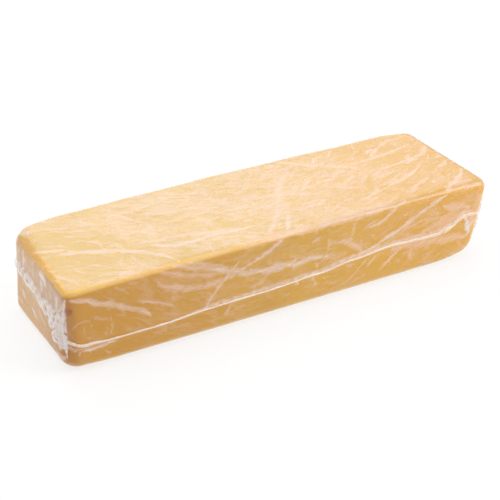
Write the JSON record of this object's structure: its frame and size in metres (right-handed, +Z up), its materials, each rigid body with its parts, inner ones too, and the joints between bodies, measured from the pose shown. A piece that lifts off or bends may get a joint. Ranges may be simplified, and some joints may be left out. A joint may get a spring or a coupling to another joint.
{
  "type": "shrink-wrapped cheddar block",
  "caption": "Long soft-edged block of cheddar sealed in clear clinging film, with a seam along the front and gathered film at both ends.",
  "frame": {"origin": "middle of the pack's base, on the surface it lies on", "axes": "+X along the block's length, to the right as seen from its seamed front; +Y from the seamed front to the back; +Z up"},
  "size_m": [0.3334, 0.1036, 0.0656],
  "materials": {
    "cheese": "smooth, slightly waxy cheese",
    "film": "clear, clinging, glossy, whitish where it stands off the cheese"
  },
  "bodies": {
    "root": {"wrapped_cheddar": "cheese"}
  },
  "joints": []
}
